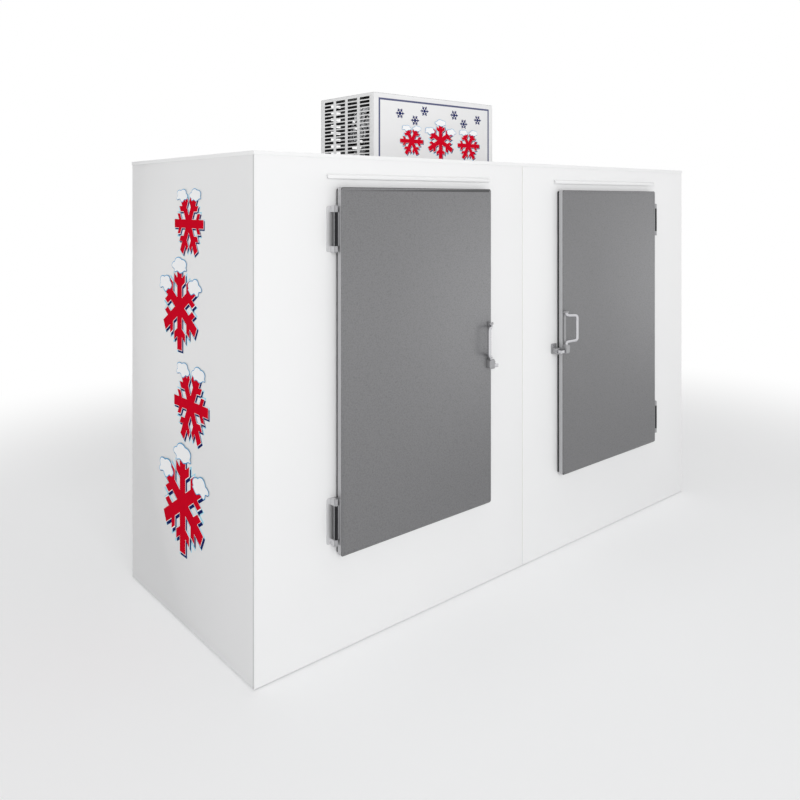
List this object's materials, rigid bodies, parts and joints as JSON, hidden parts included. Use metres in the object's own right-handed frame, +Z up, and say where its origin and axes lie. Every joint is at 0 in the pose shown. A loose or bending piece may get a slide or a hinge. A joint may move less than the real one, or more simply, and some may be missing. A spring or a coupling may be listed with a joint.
{
  "type": "ice merchandiser",
  "caption": "Freestanding outdoor ice merchandiser with two hinged insulated doors, latching D handles and a louvred condensing unit on the roof",
  "frame": {"origin": "on the floor under the middle of the cabinet", "axes": "+X to the right seen from the front, -Y towards the shopper at the doors, +Y to the back, +Z up"},
  "size_m": [2.3916, 1.0583, 1.9413],
  "materials": {
    "back_panel": "gloss",
    "base_frame": "galvanised",
    "base_pan": "galvanised",
    "compressor": "satin",
    "condenser_coil": "satin",
    "condenser_fan": "satin",
    "condenser_motor": "satin",
    "condenser_shroud": "galvanised",
    "control_box": "galvanised",
    "door_frame_left": "matt",
    "door_frame_right": "matt",
    "door_gasket_left": "matt",
    "door_gasket_right": "matt",
    "door_plug_left": "matt",
    "door_plug_right": "matt",
    "door_skin_left": "embossed satin",
    "door_skin_right": "embossed satin",
    "drain_tray": "galvanised",
    "drip_rail_left": "gloss",
    "drip_rail_right": "gloss",
    "evaporator_coil": "satin",
    "evaporator_fan": "satin",
    "evaporator_housing": "galvanised",
    "evaporator_motor": "satin",
    "front_panel_left": "gloss",
    "front_panel_right": "gloss",
    "handle_left": "bright",
    "handle_right": "bright",
    "hinge_door_leaf_left_lower": "gloss",
    "hinge_door_leaf_left_upper": "gloss",
    "hinge_door_leaf_right_lower": "gloss",
    "hinge_door_leaf_right_upper": "gloss",
    "hinge_frame_leaf_left_lower": "bright",
    "hinge_frame_leaf_left_upper": "bright",
    "hinge_frame_leaf_right_lower": "bright",
    "hinge_frame_leaf_right_upper": "bright",
    "inlet_gland": "matt",
    "inner_liner": "galvanised",
    "insulation_back": "matt",
    "insulation_floor": "matt",
    "insulation_front": "matt",
    "insulation_left": "matt",
    "insulation_right": "matt",
    "insulation_roof": "matt",
    "latch_body_left": "bright",
    "latch_body_right": "bright",
    "latch_bolt_left": "bright",
    "latch_bolt_right": "bright",
    "refrigerant_lines": "satin",
    "roof_pan": "gloss",
    "side_panel_left": "gloss",
    "side_panel_right": "gloss",
    "strike_left": "bright",
    "strike_right": "bright",
    "unit_back_grille": "gloss",
    "unit_base": "galvanised",
    "unit_grille_left": "gloss",
    "unit_grille_right": "gloss",
    "unit_lid": "gloss",
    "unit_sign_panel": "gloss"
  },
  "bodies": {
    "cabinet": {"back_panel": "back_panel", "base_frame": "base_frame", "base_pan": "base_pan", "compressor": "compressor", "condenser_coil": "condenser_coil", "condenser_motor": "condenser_motor", "condenser_shroud": "condenser_shroud", "control_box": "control_box", "door_frame_left": "door_frame_left", "door_frame_right": "door_frame_right", "drain_tray": "drain_tray", "drip_rail_left": "drip_rail_left", "drip_rail_right": "drip_rail_right", "evaporator_coil": "evaporator_coil", "evaporator_housing": "evaporator_housing", "evaporator_motor": "evaporator_motor", "front_panel_left": "front_panel_left", "front_panel_right": "front_panel_right", "hinge_frame_leaf_left_lower": "hinge_frame_leaf_left_lower", "hinge_frame_leaf_left_upper": "hinge_frame_leaf_left_upper", "hinge_frame_leaf_right_lower": "hinge_frame_leaf_right_lower", "hinge_frame_leaf_right_upper": "hinge_frame_leaf_right_upper", "inlet_gland": "inlet_gland", "inner_liner": "inner_liner", "insulation_back": "insulation_back", "insulation_floor": "insulation_floor", "insulation_front": "insulation_front", "insulation_left": "insulation_left", "insulation_right": "insulation_right", "insulation_roof": "insulation_roof", "refrigerant_lines": "refrigerant_lines", "roof_pan": "roof_pan", "side_panel_left": "side_panel_left", "side_panel_right": "side_panel_right", "strike_left": "strike_left", "strike_right": "strike_right", "unit_back_grille": "unit_back_grille", "unit_base": "unit_base", "unit_grille_left": "unit_grille_left", "unit_grille_right": "unit_grille_right", "unit_lid": "unit_lid", "unit_sign_panel": "unit_sign_panel"},
    "door_left": {"door_skin_left": "door_skin_left", "door_plug_left": "door_plug_left", "door_gasket_left": "door_gasket_left", "hinge_door_leaf_left_lower": "hinge_door_leaf_left_lower", "hinge_door_leaf_left_upper": "hinge_door_leaf_left_upper", "latch_body_left": "latch_body_left"},
    "handle_left": {"handle_left": "handle_left"},
    "latch_bolt_left": {"latch_bolt_left": "latch_bolt_left"},
    "door_right": {"door_skin_right": "door_skin_right", "door_plug_right": "door_plug_right", "door_gasket_right": "door_gasket_right", "hinge_door_leaf_right_lower": "hinge_door_leaf_right_lower", "hinge_door_leaf_right_upper": "hinge_door_leaf_right_upper", "latch_body_right": "latch_body_right"},
    "handle_right": {"handle_right": "handle_right"},
    "latch_bolt_right": {"latch_bolt_right": "latch_bolt_right"},
    "condenser_fan": {"condenser_fan": "condenser_fan"},
    "evaporator_fan": {"evaporator_fan": "evaporator_fan"}
  },
  "joints": [
    {"name": "door_left_hinge", "type": "hinge", "parent": "cabinet", "child": "door_left", "pos_m": [-0.9175, -0.514, 0.9245], "axis": [0, 0, -1], "range_deg": [0, 170]},
    {"name": "handle_left_pivot", "type": "hinge", "parent": "door_left", "child": "handle_left", "pos_m": [-0.225, -0.533, 0.857], "axis": [0, 0, 1], "range_deg": [0, 30], "stiffness_Nm_per_rad": 0.4},
    {"name": "latch_bolt_left_slide", "type": "slide", "parent": "door_left", "child": "latch_bolt_left", "axis": [-1, 0, 0], "range_m": [0, 0.00279]},
    {"name": "door_right_hinge", "type": "hinge", "parent": "cabinet", "child": "door_right", "pos_m": [0.9175, -0.514, 0.9245], "axis": [0, 0, 1], "range_deg": [0, 170]},
    {"name": "handle_right_pivot", "type": "hinge", "parent": "door_right", "child": "handle_right", "pos_m": [0.225, -0.533, 0.857], "axis": [0, 0, -1], "range_deg": [0, 30], "stiffness_Nm_per_rad": 0.4},
    {"name": "latch_bolt_right_slide", "type": "slide", "parent": "door_right", "child": "latch_bolt_right", "axis": [1, 0, 0], "range_m": [0, 0.00279]},
    {"name": "condenser_fan_spin", "type": "hinge", "parent": "cabinet", "child": "condenser_fan", "pos_m": [-0.258, 0.2365, 1.78215], "axis": [1, 0, 0], "continuous": true},
    {"name": "evaporator_fan_spin", "type": "hinge", "parent": "cabinet", "child": "evaporator_fan", "pos_m": [0, 0.0769, 1.4586], "axis": [0, 1, 0], "continuous": true}
  ],
  "couplings": [
    {"joint": "latch_bolt_left_slide", "follows": "handle_left_pivot", "m_per_rad": 0.0051408},
    {"joint": "latch_bolt_right_slide", "follows": "handle_right_pivot", "m_per_rad": 0.0051408}
  ]
}
